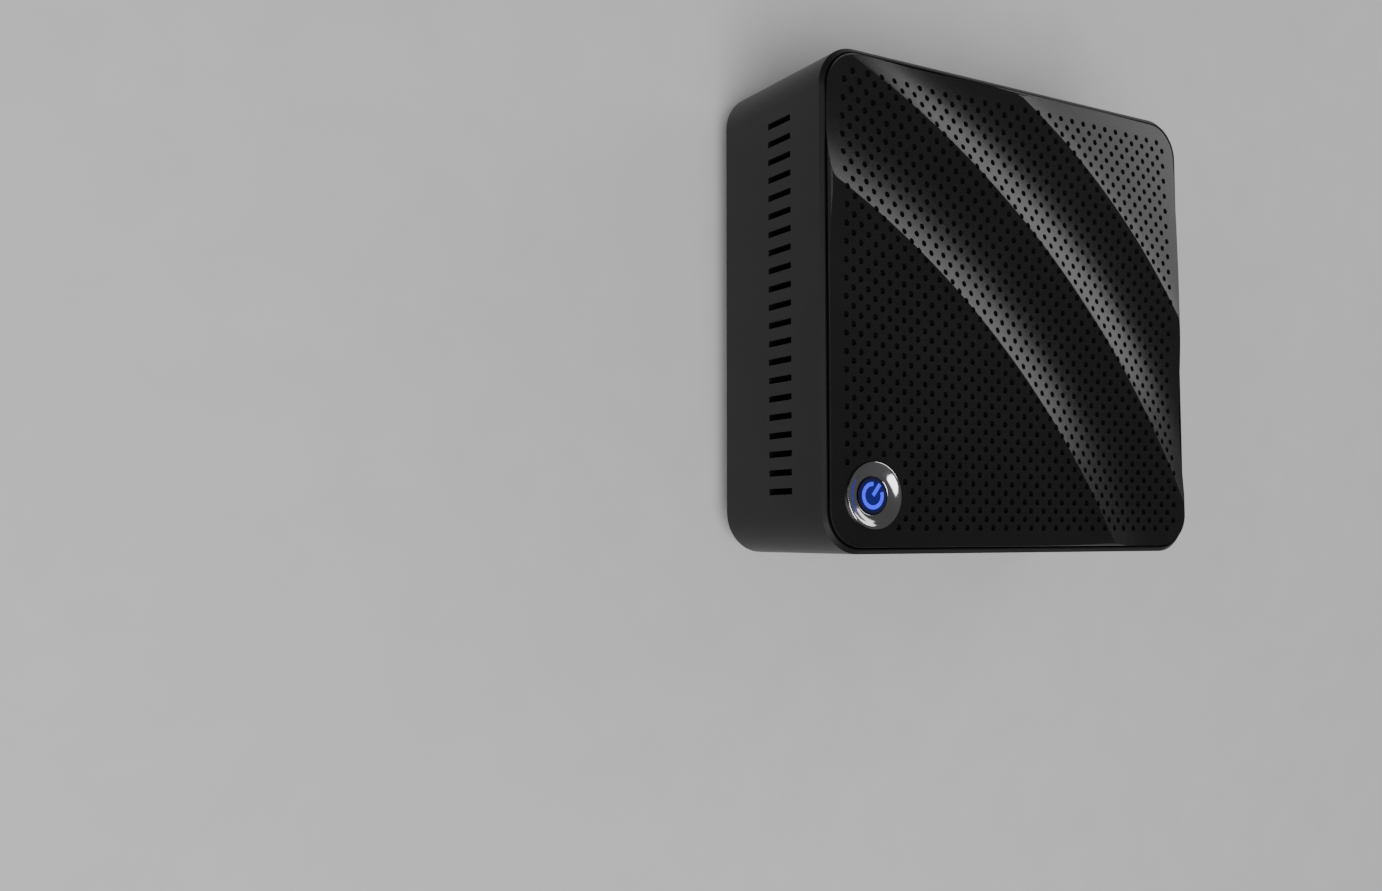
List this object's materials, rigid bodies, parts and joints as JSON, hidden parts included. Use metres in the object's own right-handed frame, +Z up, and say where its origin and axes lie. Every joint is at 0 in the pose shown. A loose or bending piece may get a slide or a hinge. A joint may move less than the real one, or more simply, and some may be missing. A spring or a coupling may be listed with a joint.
{
  "type": "mini computer",
  "caption": "Small square mini computer with side vents, rear ports, fluted dimpled top cover and a round lit power button; fan and button move.",
  "frame": {"origin": "on the floor under the middle of the body, at the bottom of the rubber feet", "axes": "+Z up, +Y towards the rear with the ports, +X to the right seen from the front"},
  "size_m": [0.1156, 0.1116, 0.0459],
  "materials": {
    "shell_plastic": "satin textured",
    "cover_plastic": "satin, dimpled",
    "panel_plastic": "gloss",
    "black_steel": "powder coat",
    "foot_rubber": "matte",
    "screw_steel": "zinc plated",
    "dark_screw": "black oxide",
    "brass": "turned",
    "bright_ring": "polished",
    "cap_plastic": "gloss",
    "symbol_light": "lit translucent",
    "black_nylon": "moulded",
    "white_nylon": "moulded",
    "board_green": "solder mask",
    "package_green": "laminate",
    "silicon": "polished die",
    "chip_black": "moulded epoxy",
    "choke_grey": "pressed ferrite",
    "can_aluminium": "drawn can",
    "sink_aluminium": "extruded",
    "fan_plastic": "moulded",
    "port_steel": "tinned",
    "blue_insert": "moulded",
    "contact_gold": "gold plated",
    "tray_steel": "galvanised",
    "drive_metal": "anodised",
    "film_amber": "printed film",
    "lead_grey": "jacket",
    "ribbon_white": "flat film",
    "cell_steel": "brushed",
    "window_red": "dark translucent"
  },
  "bodies": {
    "case": {"body_shell": "shell_plastic", "top_cover": "cover_plastic", "front_panel": "panel_plastic", "rear_panel": "panel_plastic", "bottom_plate": "black_steel", "rubber_feet": "foot_rubber", "bottom_screws": "dark_screw", "corner_inserts": "brass", "bracket_bushings": "brass", "lock_plate": "tray_steel", "infrared_window": "window_red", "button_ring": "bright_ring", "switch_body": "black_nylon", "button_board": "board_green", "main_board": "board_green", "board_screws": "screw_steel", "processor_base": "package_green", "processor_die": "silicon", "heat_sink": "sink_aluminium", "heat_sink_screws": "screw_steel", "fan_frame": "fan_plastic", "fan_screws": "screw_steel", "board_chips": "chip_black", "board_chokes": "choke_grey", "board_capacitors": "can_aluminium", "memory_socket": "black_nylon", "memory_module": "board_green", "memory_chips": "chip_black", "storage_socket": "black_nylon", "storage_card": "board_green", "storage_chips": "chip_black", "wireless_socket": "black_nylon", "wireless_card": "board_green", "card_screws": "screw_steel", "antennas": "film_amber", "antenna_leads": "lead_grey", "coin_cell": "cell_steel", "cell_holder": "black_nylon", "drive_tray": "tray_steel", "drive_case": "drive_metal", "drive_screws": "screw_steel", "drive_plug": "black_nylon", "drive_lead": "ribbon_white", "drive_header": "white_nylon", "front_usb_shells": "port_steel", "front_usb_tongues": "blue_insert", "rear_usb_shell": "port_steel", "rear_usb_tongues": "blue_insert", "video_shells": "port_steel", "video_tongues": "black_nylon", "lan_shell": "port_steel", "lan_contacts": "contact_gold", "power_inlet": "black_nylon", "inlet_pin": "screw_steel", "audio_socket": "black_nylon"},
    "button": {"power_button": "cap_plastic", "button_symbol": "symbol_light", "switch_plunger": "white_nylon"},
    "rotor": {"fan_rotor": "fan_plastic"}
  },
  "joints": [
    {"name": "button_press", "type": "slide", "parent": "case", "child": "button", "axis": [0, 0, -1], "range_m": [0, 0.0005], "stiffness_N_per_m": 1500},
    {"name": "fan_spin", "type": "hinge", "parent": "case", "child": "rotor", "pos_m": [-0.006, -0.002, 0.032], "axis": [0, 0, 1], "continuous": true}
  ]
}
